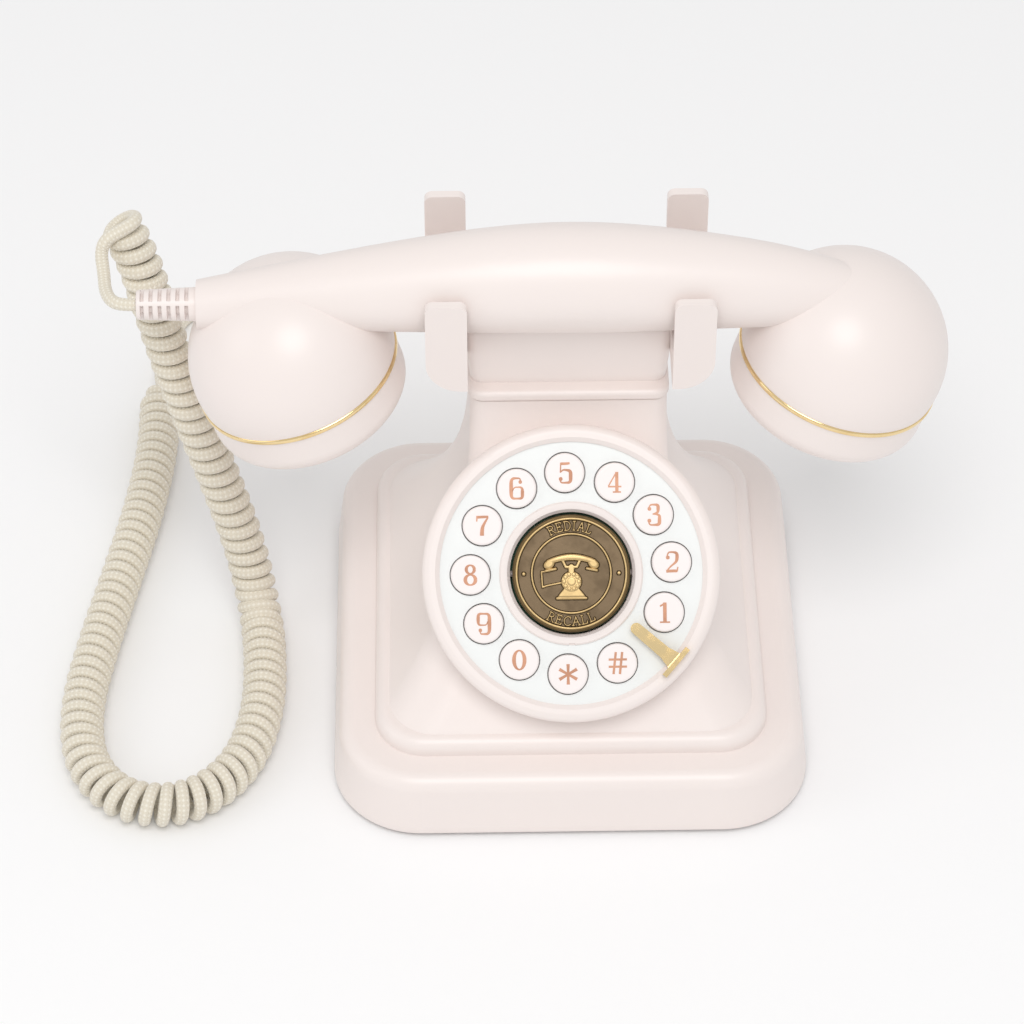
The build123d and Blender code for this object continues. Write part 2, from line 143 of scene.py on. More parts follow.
FLOOR_REACH = 6.0
floor_corners = [(x * FLOOR_REACH, y * FLOOR_REACH, 0) for x, y in ((-1, -1), (1, -1), (1, 1), (-1, 1))]
floor_mesh = bpy.data.meshes.new("floor")
floor_mesh.from_pydata(floor_corners, [], [(0, 1, 2, 3)])
floor = link("floor", floor_mesh)
floor_look = bpy.data.materials.new("floor_white")
floor_look.use_nodes = True
floor_paint = floor_look.node_tree.nodes["Principled BSDF"]
floor_paint.inputs["Base Color"].default_value = (0.95, 0.95, 0.955, 1)
floor_paint.inputs["Roughness"].default_value = 0.9
floor_paint.inputs["Specular IOR Level"].default_value = 0.1
floor_mesh.materials.append(floor_look)

surround = bpy.data.worlds.new("surround")
surround.use_nodes = True
surround_light = surround.node_tree.nodes["Background"]
surround_light.inputs["Color"].default_value = (1.0, 0.995, 0.99, 1)
surround_light.inputs["Strength"].default_value = 0.70
scene.world = surround
soft_panel("key", (0.0, -0.9, 1.7), (0, 0, 0.05), 1.0, 12)
soft_panel("side", (-1.3, -0.3, 0.9), (0, 0, 0.08), 0.8, 1.5)

# %% [markdown]
# ## Surfaces from numbers
# Every new piece here is a sheet of points with two parameters, rows and columns, worked out as one
# array. Neighbouring points are joined into four-sided faces. A direction that comes back to its start,
# such as the way round a cord, is closed; the first and last rows can be filled with one flat face.

# %% Grid surfaces


def grid_faces(rows, columns, closed=True, first=0):
    """Quads (r, c), (r, c+1), (r+1, c+1), (r+1, c) of a grid numbered row by row from first."""
    index = first + np.arange(rows * columns).reshape(rows, columns)
    beside = np.roll(index, -1, axis=1)
    if not closed:
        index, beside = index[:, :-1], beside[:, :-1]
    return np.stack([index[:-1], beside[:-1], beside[1:], index[1:]], axis=-1).reshape(-1, 4)


def new_mesh(name, points, faces, caps=(), smooth=True):
    """A mesh of points and four-sided faces, with caps as faces of any number of corners."""
    mesh = bpy.data.meshes.new(name)
    every_face = faces.tolist() + [list(map(int, cap)) for cap in caps]
    mesh.from_pydata(points.reshape(-1, 3).tolist(), [], every_face)
    mesh.polygons.foreach_set("use_smooth", np.full(len(mesh.polygons), smooth))
    mesh.update()
    return mesh


def unit(vectors):
    """Each vector divided by its own length."""
    return vectors / np.linalg.norm(vectors, axis=-1, keepdims=True)


# %% [markdown]
# ## The cord's line
# The cord leaves the handset through a slotted sleeve, turns back on itself and hangs as a coil to
# the table. There it makes a loop, runs past the base and goes on straight to its plug behind the phone.
# A coil is a helix about a middle line, and that middle line is one smooth spline with few points, so
# the coil bends as calmly as a real one. The lead is a second spline, which joins the coil at its side.

# %% Middle lines as splines
CORD_THICK = 4.2 * MM
COIL_REACH = 5.05 * MM
HANDSET_EXIT = (-133.0, 15.2, 142.0)
lead_route = [HANDSET_EXIT, (-137.5, 15.2, 142.0), (-141.0, 17.5, 141.5), (-143.2, 23.0, 141.0),
              (-143.8, 29.5, 142.0), (-144.8, 34.8, 146.5), (-143.0, 36.0, 150.6), (-138.5, 37.5, 152.6)]
coil_route = [(-138.8, 43.2, 150.5), (-134.3, 41.0, 139.6), (-130.6, 38.3, 123.5), (-126.0, 34.8, 103.5),
              (-119.8, 31.2, 80.0), (-112.0, 27.0, 54.0), (-105.0, 22.5, 28.0), (-101.0, 14.0, 7.2),
              (-98.5, -8.0, 7.2), (-98.8, -34.0, 7.2), (-105.5, -57.0, 7.2), (-121.5, -71.5, 7.2),
              (-141.5, -70.5, 7.2), (-155.0, -55.0, 7.2), (-158.0, -30.0, 7.2), (-153.5, 0.0, 7.2),
              (-147.5, 30.0, 7.2), (-141.5, 62.0, 7.2), (-138.0, 94.0, 7.2), (-139.0, 122.0, 7.2),
              (-139.5, 136.0, 7.2), (-137.0, 153.0, 2.15), (-130.5, 166.5, 2.15), (-113.0, 173.5, 2.15),
              (-84.0, 176.0, 2.15), (-55.0, 177.5, 2.15), (-28.0, 169.0, 2.15), (-10.0, 147.0, 2.15),
              (-5.5, 121.0, 4.0), (-8.0, 103.0, 12.0), (-8.0, 87.0, 12.0)]


SPLINE_FINENESS = 24


def length_along(points):
    """How far each point is from the first, along the line: the running sum of the steps' lengths."""
    steps = np.linalg.norm(np.diff(points, axis=0), axis=1)
    return np.concatenate([[0], np.cumsum(steps)])


def resample(values, at, wanted):
    """Rows of values, known at some lengths along a line, read off at the wanted ones in straight steps."""
    return np.stack([np.interp(wanted, at, column) for column in values.T], axis=1)


def spline_points(route, spacing):
    """Points of a smooth spline, even steps of about the given spacing apart. Each point is a weighted
    mean of the three steering points next to it, so the line runs near them and never turns sharply."""
    curve = bpy.data.curves.new("middle_line", "CURVE")
    curve.dimensions = "3D"
    curve.resolution_u = SPLINE_FINENESS
    spline = curve.splines.new("NURBS")
    spline.points.add(len(route) - 1)
    spline.points.foreach_set("co", np.hstack([route, np.ones((len(route), 1))]).ravel())
    spline.order_u = 3
    spline.use_endpoint_u = True
    guide = bpy.data.objects.new("middle_line", curve)
    line = bpy.data.meshes.new_from_object(guide)
    points = np.empty(len(line.vertices) * 3)
    line.vertices.foreach_get("co", points)
    points = points.reshape(-1, 3)
    bpy.data.objects.remove(guide)
    bpy.data.curves.remove(curve)
    bpy.data.meshes.remove(line)
    reached = length_along(points)
    return resample(points, reached, np.linspace(0, reached[-1], int(reached[-1] / spacing) + 1))


middle = spline_points(np.array(coil_route) * MM, 0.12 * MM)
print("middle line:", round(length_along(middle)[-1], 3), "m,", len(middle), "points")

# %% [markdown]
# ## The helix
# Seen from the front each turn runs down from left to right, so the helix is left-handed. Its pitch is
# wider where the coil hangs under its own weight than where it lies on the table. Towards the plug its
# radius shrinks to nothing over one turn, and from there on the cord is straight.

# %% The helix about the middle line
HANGING_PITCH, LYING_PITCH = 5.5 * MM, 4.85 * MM
LYING_HEIGHT, HANGING_HEIGHT = 8 * MM, 40 * MM
COIL_END_Y, COIL_END_X = 122 * MM, -130 * MM
UNWIND_BEFORE, UNWIND_AFTER = 12 * MM, 6 * MM
DIRECTION_SPAN = 31
ASIDE = unit(np.array([-0.5, 0.55, -0.66]))


def ease(value, low, high):
    """0 below low, 1 above high and the smoothstep 3t^2 - 2t^3 between."""
    t = np.clip((value - low) / (high - low), 0, 1)
    return t * t * (3 - 2 * t)


def smooth(values, width):
    """Running mean over width samples, with the ends held."""
    padded = np.pad(values, ((width // 2, width - 1 - width // 2), (0, 0)), mode="edge")
    total = np.cumsum(np.vstack([np.zeros(padded.shape[1]), padded]), axis=0)
    return (total[width:] - total[:-width]) / width


tangent = unit(smooth(np.gradient(middle, axis=0), DIRECTION_SPAN))
across = unit(ASIDE - (tangent @ ASIDE)[:, None] * tangent)
beside = np.cross(tangent, across)
distance = length_along(middle)
straight_from = distance[np.argmax((middle[:, 1] > COIL_END_Y) & (middle[:, 0] < COIL_END_X))]
coiled = 1 - ease(distance, straight_from - UNWIND_BEFORE, straight_from + UNWIND_AFTER)
hanging = ease(middle[:, 2], LYING_HEIGHT, HANGING_HEIGHT)
pitch = LYING_PITCH + (HANGING_PITCH - LYING_PITCH) * hanging
turns_per_metre = coiled / pitch
turns_each_step = 0.5 * (turns_per_metre[1:] + turns_per_metre[:-1]) * np.diff(distance)
turn = 2 * math.pi * np.concatenate([[0], np.cumsum(turns_each_step)])
first_angle = math.atan2(-beside[0] @ DIAL_RIGHT, across[0] @ DIAL_RIGHT)
radial = np.cos(turn + first_angle)[:, None] * across - np.sin(turn + first_angle)[:, None] * beside
wound = middle + COIL_REACH * coiled[:, None] * radial
print("turns:", round(turn[-1] / (2 * math.pi), 1), "coil starts at mm", np.round(wound[0] / MM, 1))

# %% [markdown]
# The lead's last two steering points sit on the helix's own first point and a little before it in its
# own direction, so the two lines meet without a kink. The whole line is then read off in even steps.

# %% Lead and helix as one line
CORD_STEP = 0.8 * MM
LEAD_IN = 3.5 * MM
lead_in = wound[0] - LEAD_IN * unit(wound[1] - wound[0])
lead = spline_points(np.vstack([np.array(lead_route) * MM, lead_in, wound[0]]), 0.3 * MM)
cord_line = np.vstack([lead[:-1], wound])
fine = length_along(cord_line)
even = np.linspace(0, fine[-1], int(fine[-1] / CORD_STEP))
cord_path = resample(cord_line, fine, even)

# %% [markdown]
# ## The strain relief
# Where the cord leaves the handset, a tapered sleeve keeps it from kinking. Six rows of slots make it
# bendy, and four ribs hold it together. It is a surface of revolution whose radius drops in the slots:
# radius = taper - depth x (in a slot) x (between two ribs), both with slightly rounded edges.

# %% The slotted sleeve (millimetres)
SLEEVE_LENGTH, SLEEVE_ROOT, SLEEVE_TIP, TIP_ROUND = 18.5, 5.3, 4.6, 0.5
STUB_LENGTH, STUB_RADIUS, STUB_EDGE, TIP_HOLE = 2.5, 3.5, 0.1, 1.7
SLOT_COUNT, FIRST_SLOT, SLOT_PITCH, SLOT_HALF, SLOT_DEEP = 6, 2.9, 2.75, 0.52, 1.9
RIB_HALF, SLOT_EDGE = 0.95, 0.2
SLEEVE_ROWS, SLEEVE_SIDES = 240, 120
along = np.linspace(0, SLEEVE_LENGTH, SLEEVE_ROWS)[:, None]
about = (np.arange(SLEEVE_SIDES) * 2 * math.pi / SLEEVE_SIDES)[None, :]
near_tip = ease(along, SLEEVE_LENGTH - TIP_ROUND, SLEEVE_LENGTH)
taper = SLEEVE_ROOT + (SLEEVE_TIP - SLEEVE_ROOT) * along / SLEEVE_LENGTH
taper = taper - TIP_ROUND * (1 - np.sqrt(1 - near_tip ** 2))
slot_row = np.clip(np.round((along - FIRST_SLOT) / SLOT_PITCH), 0, SLOT_COUNT - 1)
from_slot = np.abs(along - FIRST_SLOT - slot_row * SLOT_PITCH)
in_slot = 1 - ease(from_slot, SLOT_HALF - SLOT_EDGE / 2, SLOT_HALF + SLOT_EDGE / 2)
rib_turn = about - math.pi / 4
from_rib = np.minimum(np.abs(np.sin(rib_turn)), np.abs(np.cos(rib_turn))) * SLEEVE_ROOT
between_ribs = ease(from_rib, RIB_HALF - SLOT_EDGE / 2, RIB_HALF + SLOT_EDGE / 2)
sleeve_radius = taper - SLOT_DEEP * in_slot * between_ribs

# %% [markdown]
# A round stub holds the sleeve in the handset, and the tip closes in round the cord. Both are rows of
# their own before and after the slotted ones, and a flat face fills the hole at each end.

# %% The sleeve's stub, tip and mesh
stub = np.array([[-STUB_LENGTH, STUB_RADIUS - STUB_EDGE], [-STUB_LENGTH, STUB_RADIUS], [0, STUB_RADIUS]])
tip = np.array([[SLEEVE_LENGTH, TIP_HOLE]])
row_at = np.concatenate([stub[:, 0], along[:, 0], tip[:, 0]])[:, None]
row_radius = np.vstack([np.repeat(stub[:, 1:], SLEEVE_SIDES, axis=1), sleeve_radius,
                        np.repeat(tip[:, 1:], SLEEVE_SIDES, axis=1)])
exit_x, exit_y, exit_z = HANDSET_EXIT
sleeve_points = MM * np.stack([np.broadcast_to(exit_x + SLEEVE_LENGTH - row_at, row_radius.shape),
                               exit_y - row_radius * np.sin(about),
                               exit_z + row_radius * np.cos(about)], axis=-1)
sleeve_rows = len(row_at)
last_row = range((sleeve_rows - 1) * SLEEVE_SIDES, sleeve_rows * SLEEVE_SIDES)
sleeve_faces = grid_faces(sleeve_rows, SLEEVE_SIDES)[:, ::-1]
sleeve = link("strain_relief_sleeve", new_mesh("strain_relief_sleeve", sleeve_points, sleeve_faces,
                                               caps=[range(SLEEVE_SIDES), last_row[::-1]]))
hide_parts("strain_relief")
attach(sleeve, "handset")
print("sleeve faces:", len(sleeve.data.polygons))

# %% [markdown]
# ## The cord's skin
# The cord could be a curve with a round bevel, but then its braid couldn't follow the twist of the coil.
# A tube made row by row keeps one side of every ring turned away from the coil's middle, so the woven
# pattern runs true. Where the coil hangs, the cord is drawn a little wider, so that its turns still lie
# close.

# %% Tube round the line
CORD_SIDES = 12
LEAD_SIDE = unit(np.array([0.35, -0.5, 0.8]))
LEAD_TURN_LENGTH = 12 * MM
HANGING_WIDER, LEAD_NARROWER = 0.14, 0.95
WIDTH_SPAN = 201


def tube_along(path, thick, wide, sides, out):
    """Ovals square to a path, one row per point: path + thick/2 cos a out + wide/2 sin a sideways."""
    ahead = unit(np.gradient(path, axis=0))
    outward = unit(out - np.sum(out * ahead, axis=1, keepdims=True) * ahead)
    sideways = np.cross(ahead, outward)
    angle = np.arange(sides) * 2 * math.pi / sides
    half_thick, half_wide = (np.broadcast_to(size, len(path))[:, None, None] / 2
                             for size in (thick, wide))
    return (path[:, None] + half_thick * np.cos(angle)[None, :, None] * outward[:, None]
            + half_wide * np.sin(angle)[None, :, None] * sideways[:, None])


lead_reached = length_along(lead)
to_coil = ease(lead_reached[:-1], lead_reached[-1] - LEAD_TURN_LENGTH, lead_reached[-1])[:, None]
out_line = np.vstack([unit((1 - to_coil) * LEAD_SIDE + to_coil * radial[0]), radial])
wound_width = CORD_THICK * (1 + HANGING_WIDER * coiled * hanging)
width_line = np.concatenate([np.full(len(lead) - 1, CORD_THICK * LEAD_NARROWER), wound_width])
cord_width = np.interp(even, fine, smooth(width_line[:, None], WIDTH_SPAN)[:, 0])
ring_points = tube_along(cord_path, CORD_THICK, cord_width, CORD_SIDES,
                         unit(resample(out_line, fine, even)))
rows = len(cord_path)
cord_mesh = new_mesh("handset_cord", ring_points, grid_faces(rows, CORD_SIDES),
                     caps=[range(CORD_SIDES)[::-1], range((rows - 1) * CORD_SIDES, rows * CORD_SIDES)])
print("cord triangles:", 2 * len(cord_mesh.polygons))

# %% [markdown]
# The braid's map has the way round the cord as its first number and the length along it, in rounds of
# the cord, as its second. The column where the tube closes is counted once more, so the map has no seam.

# %% The braid's map, and what the cord is
around = np.arange(CORD_SIDES + 1) / CORD_SIDES
corner_rows = grid_faces(rows, CORD_SIDES + 1, closed=False)
corner_uv = np.stack([around[corner_rows % (CORD_SIDES + 1)],
                      even[corner_rows // (CORD_SIDES + 1)] / (math.pi * CORD_THICK)], axis=-1)
uv_layer = cord_mesh.uv_layers.new(name="braid")
flat_caps = np.zeros((2 * CORD_SIDES, 2))
uv_layer.data.foreach_set("uv", np.vstack([corner_uv.reshape(-1, 2), flat_caps]).ravel())
cord = link("handset_cord", cord_mesh)
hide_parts("handset_cord_lead", "handset_cord_curl", "handset_cord_tail")
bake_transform(cord)

# %% [markdown]
# ## Finishes
# A moulded casing is never perfectly even: it has a faint orange-peel surface and a cloudy tone. Metal trim
# shows rubbed and dull patches. A woven cover shows its strands, and they get painted light and shade. Each
# of these effects is one small group of shader nodes. It gives back a Height, for fine relief, and a Mask,
# for tone and gloss, and each material takes its own share of both.

# %% Shader helpers


def add(tree, kind, settings=(), **values):
    """One shader node. A value is a number, a colour, or another node's output socket to link from. It is
    named for its input, with _ for a space, or inN for the N-th input where names repeat."""
    node = tree.nodes.new("ShaderNode" + kind)
    for name, setting in dict(settings).items():
        setattr(node, name, setting)
    for name, value in values.items():
        numbered = name.startswith("in") and name[2:].isdigit()
        socket = node.inputs[int(name[2:]) if numbered else name.replace("_", " ")]
        if isinstance(value, bpy.types.NodeSocket):
            tree.links.new(value, socket)
        else:
            socket.default_value = value
    return node


def effect(name):
    """A shared node group with the number outputs Height and Mask, and the node that feeds them."""
    group = bpy.data.node_groups.new(name, "ShaderNodeTree")
    for output in ("Height", "Mask"):
        group.interface.new_socket(output, in_out="OUTPUT", socket_type="NodeSocketFloat")
    return group, group.nodes.new("NodeGroupOutput")


def noise(group, repeats, detail, **values):
    """Cloudy noise on the piece's own place, with that many repeats to the metre."""
    place = add(group, "TexCoord")
    return add(group, "TexNoise", Vector=place.outputs["Object"], Scale=repeats, Detail=detail, **values)


def feed(group, end, height, mask):
    """The two outputs that leave the group."""
    group.links.new(height, end.inputs["Height"])
    group.links.new(mask, end.inputs["Mask"])


# %% [markdown]
# Moulded plastic copies the polish of its mould, which is never quite a mirror. A fine even noise is the
# Height and a slow one the Mask. Both are solid patterns in space, so they need no map on the piece.

# %% Moulded skin
moulded, end = effect("moulded_skin")
peel = noise(moulded, 900.0, 2.0)
cloud = noise(moulded, 18.0, 3.0)
feed(moulded, end, peel.outputs["Fac"], cloud.outputs["Fac"])

# %% [markdown]
# Plated and printed metal wears in patches. A very fine tumbled grain is the Height, and the Mask is a
# patchy noise with its middle stretched, so that a spot is either bright or matt with a soft edge.

# %% Worn metal
MATT_FROM, MATT_TO = 0.42, 0.68
worn, end = effect("worn_metal")
patches = noise(worn, 160.0, 5.0, Roughness=0.6)
matt = add(worn, "MapRange", {"interpolation_type": "SMOOTHSTEP"}, Value=patches.outputs["Fac"],
           From_Min=MATT_FROM, From_Max=MATT_TO)
grain = noise(worn, 2600.0, 3.0)
feed(worn, end, grain.outputs["Fac"], matt.outputs[0])

# %% [markdown]
# A braid is two sets of strands that cross on the slant. With x the way round and y the way along, the
# product sin(pi (y + x)) sin(pi (y - x)) is a slanted chequer of bumps: its size is the Height of a stitch,
# and its sign picks out one of the two sets, which is the Mask. As a colour the Mask is painted light and
# shade: the stitches of that set are lit towards their middles, and the other set and the gaps stay in
# painted shade.

# %% Braid, with painted light and shade on its strands
STITCHES_ROUND, STITCHES_ALONG = 8.0, 11.0
braid, end = effect("braid")


def calculate(operation, *numbers):
    """One sum on the braid's map: numbers or outputs in, an output out."""
    inputs = {f"in{place}": number for place, number in enumerate(numbers)}
    return add(braid, "Math", {"operation": operation}, **inputs).outputs[0]


braid_map = add(braid, "SeparateXYZ", Vector=add(braid, "UVMap", {"uv_map": "braid"}).outputs[0])
round_way = calculate("MULTIPLY", braid_map.outputs["X"], STITCHES_ROUND)
along_way = calculate("MULTIPLY", braid_map.outputs["Y"], STITCHES_ALONG)
waves = [calculate("SINE", calculate("MULTIPLY", calculate(sign, along_way, round_way), math.pi))
         for sign in ("ADD", "SUBTRACT")]
stitch_bumps_and_shade = calculate("MULTIPLY", *waves)
# The signed product is the Mask: painted light on the middles of one set of stitches, painted shade on the
# rest.
feed(braid, end, calculate("ABSOLUTE", stitch_bumps_and_shade), stitch_bumps_and_shade)
print("effects:", [group.name for group in (moulded, worn, braid)])

# %% [markdown]
# ## Materials
# The casing is a warm ivory plastic with a soft gloss, the dial plate a cooler white. The finger stop and
# the two rings are plated gold, the medallion antique bronze, and the numerals are printed in copper.

# %% Material builder


def mix(tree, mask, low, high):
    """The colour low where the mask is 0 and high where it is 1."""
    node = add(tree, "Mix", {"data_type": "RGBA"}, Factor=mask, in6=(*low, 1), in7=(*high, 1))
    return node.outputs[2]


def between(tree, mask, low, high):
    """The number low where the mask is 0 and high where it is 1."""
    return add(tree, "MapRange", Value=mask, To_Min=low, To_Max=high).outputs[0]


looks = {}
FINE_STEP, STRAND_STEP = 0.02 * MM, 0.16 * MM


def finish(name, colour, roughness, group=None, other_colour=None, other_roughness=None, bump=0.0,
           bump_step=FINE_STEP, **shader):
    """A Principled material. A group's Mask blends the colour and the roughness to the other ones, and
    its Height is a bump of that strength and step. The rest are the shader's own numbers."""
    looks[name] = material = bpy.data.materials.new(name)
    material.use_nodes = True
    tree = material.node_tree
    principled = tree.nodes["Principled BSDF"]
    principled.inputs["Base Color"].default_value = (*colour, 1)
    principled.inputs["Roughness"].default_value = roughness
    for key, value in shader.items():
        principled.inputs[key.replace("_", " ")].default_value = value
    if group:
        effect_node = tree.nodes.new("ShaderNodeGroup")
        effect_node.node_tree = group
        mask, height = effect_node.outputs["Mask"], effect_node.outputs["Height"]
        tree.links.new(mix(tree, mask, colour, other_colour), principled.inputs["Base Color"])
        tree.links.new(between(tree, mask, roughness, other_roughness), principled.inputs["Roughness"])
        if bump:
            texture = add(tree, "Bump", Height=height, Strength=bump, Distance=bump_step)
            tree.links.new(texture.outputs[0], principled.inputs["Normal"])


# %% [markdown]
# Each plastic has two near colours and two near glosses, one for each end of the slow cloud. The casing
# also has a thin coat, which gives it a soft second shine over the first.

# %% Plastics and rubber
finish("ivory_plastic", (0.89, 0.81, 0.775), 0.36, moulded, (0.865, 0.785, 0.755), 0.44,
       bump=0.25, Coat_Weight=0.2, Coat_Roughness=0.25)
finish("dial_white", (0.86, 0.88, 0.87), 0.30, moulded, (0.845, 0.865, 0.855), 0.36, bump=0.2)
finish("key_plastic", (0.92, 0.86, 0.84), 0.28, moulded, (0.90, 0.835, 0.82), 0.34, bump=0.15)
finish("clear_plug", (0.86, 0.87, 0.86), 0.12, Transmission_Weight=0.75, IOR=1.5)
finish("dark_rubber", (0.055, 0.052, 0.05), 0.75, moulded, (0.075, 0.07, 0.067), 0.85, bump=0.4)
finish("black_plastic", (0.03, 0.03, 0.032), 0.42, moulded, (0.045, 0.045, 0.047), 0.5, bump=0.2)
finish("circuit_board", (0.03, 0.17, 0.07), 0.40, moulded, (0.04, 0.22, 0.09), 0.5, bump=0.1)

# %% [markdown]
# The metals are bright where they are rubbed and duller in patches. The copper print is metal flakes in
# ink, so it is only partly metallic. The cloth has a sheen, as fine fibres have at a glancing angle.

# %% Metals, print and cloth
finish("gold_trim", (0.90, 0.70, 0.38), 0.11, worn, (0.82, 0.60, 0.29), 0.19, bump=0.05, Metallic=1.0)
finish("antique_bronze", (0.42, 0.29, 0.14), 0.40, worn, (0.30, 0.20, 0.10), 0.55, bump=0.4,
       Metallic=1.0)
finish("plain_steel", (0.60, 0.60, 0.60), 0.28, worn, (0.48, 0.48, 0.49), 0.42, bump=0.1, Metallic=1.0)
finish("copper_print", (0.58, 0.29, 0.18), 0.38, worn, (0.50, 0.245, 0.15), 0.48, Metallic=0.35)
# The cloth's two colours are one cream thread in painted shade and in painted light, as the braid's Mask
# sets them.
finish("cord_fabric", (0.76, 0.70, 0.58), 0.85, braid, (0.90, 0.86, 0.76), 0.92, bump=0.8,
       bump_step=STRAND_STEP, Sheen_Weight=0.35, Sheen_Roughness=0.5)
print("materials:", len(looks))

# %% [markdown]
# ## Every solid gets its finish
# The record names a finish for each node, so one loop dresses the whole phone. A solid's own mesh is
# kept as it is; only its material changes.

# %% Dress the solids
slot_of = {part["node"]: part["material_slot"] for part in frame["record"]["subparts"]}


def wear(piece, slot_name):
    """Every face of the piece in the finish of that name, and in no other."""
    piece.data.materials.clear()
    piece.data.materials.append(looks[slot_name])
    first_slot = np.zeros(len(piece.data.polygons), dtype=np.int32)
    piece.data.polygons.foreach_set("material_index", first_slot)


for node_name, node in frame["nodes"].items():
    wear(node, slot_of[node_name])
wear(cord, "cord_fabric")
wear(sleeve, "ivory_plastic")
print("dressed:", len(slot_of), "solids")

# %% [markdown]
# ## Numerals on the keys
# The numerals are printed in copper, in a heavy slab face: thick stems, thin joins and ball ends. Each is
# drawn as a few brush strokes. A stroke is a row of points with a width at each, rounded off by the same
# smooth spline as the cord's, and laid on the key as a very thin ribbon that moves with its key.

# %% Strokes of the numerals
BALL = 0.085


def stroke(*triples):
    """One brush stroke: (across, up, width) at each steering point, in units of the numeral's height."""
    return np.array(triples, dtype=float)


def ball(across, up, radius=BALL):
    """A round end: a short stroke that swells to 2.3 radii, which the spline cuts down to a circle."""
    return stroke((across - radius, up, 0.02), (across - radius, up, 1.5 * radius),
                  (across, up, 2.3 * radius),
                  (across + radius, up, 1.5 * radius), (across + radius, up, 0.02))


def loop(across, up, reach_across, reach_up, thin, swell):
    """A closed oval stroke; its width is thin + swell |cos a|^1.5, so that the sides are heavy."""
    a = np.linspace(0, 2 * math.pi, 33)
    return np.stack([across + reach_across * np.cos(a), up + reach_up * np.sin(a),
                     thin + swell * np.abs(np.cos(a)) ** 1.5], axis=1)


six = [stroke((.55, .80, .05), (.54, .97, .06), (.40, .98, .08), (.10, .97, .14), (.10, .45, .19),
              (.10, .03, .13), (.37, .02, .07), (.62, .02, .13), (.63, .29, .17), (.62, .55, .10),
              (.40, .56, .06), (.22, .55, .06), (.17, .38, .05)), ball(.53, .80, .08)]
numerals = {
    "0": [loop(.35, .5, .25, .45, .07, .11)],
    "1": [stroke((.38, .04, .17), (.38, .5, .17), (.38, .96, .17)),
          stroke((.40, .95, .06), (.28, .85, .09), (.15, .79, .07)),
          stroke((.14, .035, .07), (.38, .035, .07), (.62, .035, .07))],
    "2": [stroke((.15, .72, .05), (.16, .96, .07), (.40, .98, .08), (.62, .93, .14), (.62, .70, .17),
                 (.58, .50, .12), (.30, .30, .07), (.12, .08, .06)),
          stroke((.10, .07, .13), (.35, .09, .14), (.62, .08, .13)),
          stroke((.61, .06, .07), (.65, .27, .06)), ball(.18, .72)],
    "3": [stroke((.14, .80, .05), (.18, .97, .07), (.38, .98, .08), (.58, .96, .15), (.58, .76, .16),
                 (.57, .58, .10), (.32, .53, .06)),
          stroke((.32, .53, .06), (.64, .54, .10), (.64, .27, .17), (.63, .03, .16), (.36, .02, .08),
                 (.14, .02, .07), (.12, .22, .05)), ball(.17, .78), ball(.16, .22)],
    "4": [stroke((.46, .04, .15), (.46, .5, .15), (.46, .98, .15)),
          stroke((.44, .96, .06), (.06, .31, .06)),
          stroke((.05, .29, .07), (.36, .29, .07), (.67, .29, .07)),
          stroke((.27, .035, .07), (.46, .035, .07), (.65, .035, .07))],
    "5": [stroke((.17, .92, .12), (.38, .91, .14), (.59, .94, .10)),
          stroke((.17, .97, .06), (.15, .50, .06)),
          stroke((.15, .50, .05), (.25, .64, .07), (.42, .62, .10), (.63, .58, .16), (.63, .31, .18),
                 (.62, .03, .14), (.36, .02, .08), (.14, .02, .07), (.12, .20, .05)), ball(.16, .20)],
    "6": six,
    "7": [stroke((.10, .90, .12), (.37, .91, .14), (.65, .92, .10)),
          stroke((.12, .97, .07), (.10, .70, .06)),
          stroke((.63, .88, .07), (.43, .58, .12), (.34, .32, .18), (.34, .03, .19))],
    "8": [loop(.36, .76, .19, .20, .07, .08), loop(.36, .27, .24, .24, .07, .10)],
    "9": [np.hstack([[.72, 1.0] - part[:, :2], part[:, 2:]]) for part in six],
    "star": [stroke((.36, .5, .11), (.36 + .25 * math.cos(a), .5 + .25 * math.sin(a), .12),
                    (.36 + .48 * math.cos(a), .5 + .48 * math.sin(a), .16))
             for a in np.radians([30, 90, 150, 210, 270, 330])],
    "hash": [stroke((.16 + x, -.02, .11), (.22 + x, .5, .11), (.28 + x, 1.02, .11)) for x in (0, .30)]
            + [stroke((-.06, y, .10), (.37, y, .10), (.80, y, .10)) for y in (.33, .67)],
}
print("numerals:", " ".join(numerals))

# %% [markdown]
# A ribbon's two edges lie half its width to each side of its middle, square to the way it runs. It gets a
# top, two side walls and two end walls, and is a few hundredths of a millimetre thick, like real print.

# %% Ribbons on the keys
NUMERAL_HIGH = 6.6 * MM
PRINT_THICK = 0.05 * MM
KEY_TOP = 2.0 * MM
RIBBON_STEPS = 28
LAYER_RISE = 0.08
NUMERAL_MIDDLE = (0.36, 0.5)


def ribbon(points_and_widths, base, top):
    """Points of a ribbon's box-shaped section, four corners to a row: middle + or - half the width aside,
    at the top and at the base."""
    line = points_and_widths
    if len(line) > 2:
        line = spline_points(line, np.ptp(line[:, :2]) / RIBBON_STEPS)
    ahead = unit(np.gradient(line[:, :2], axis=0) + 1e-9)
    aside = np.stack([-ahead[:, 1], ahead[:, 0]], axis=1) * line[:, 2:] / 2
    left, right = line[:, :2] + aside, line[:, :2] - aside
    flat = np.stack([left, right, right, left], axis=1)
    lift = np.broadcast_to(np.array([top, top, base, base])[None, :, None], flat.shape[:2] + (1,))
    return np.concatenate([flat, lift], axis=2)


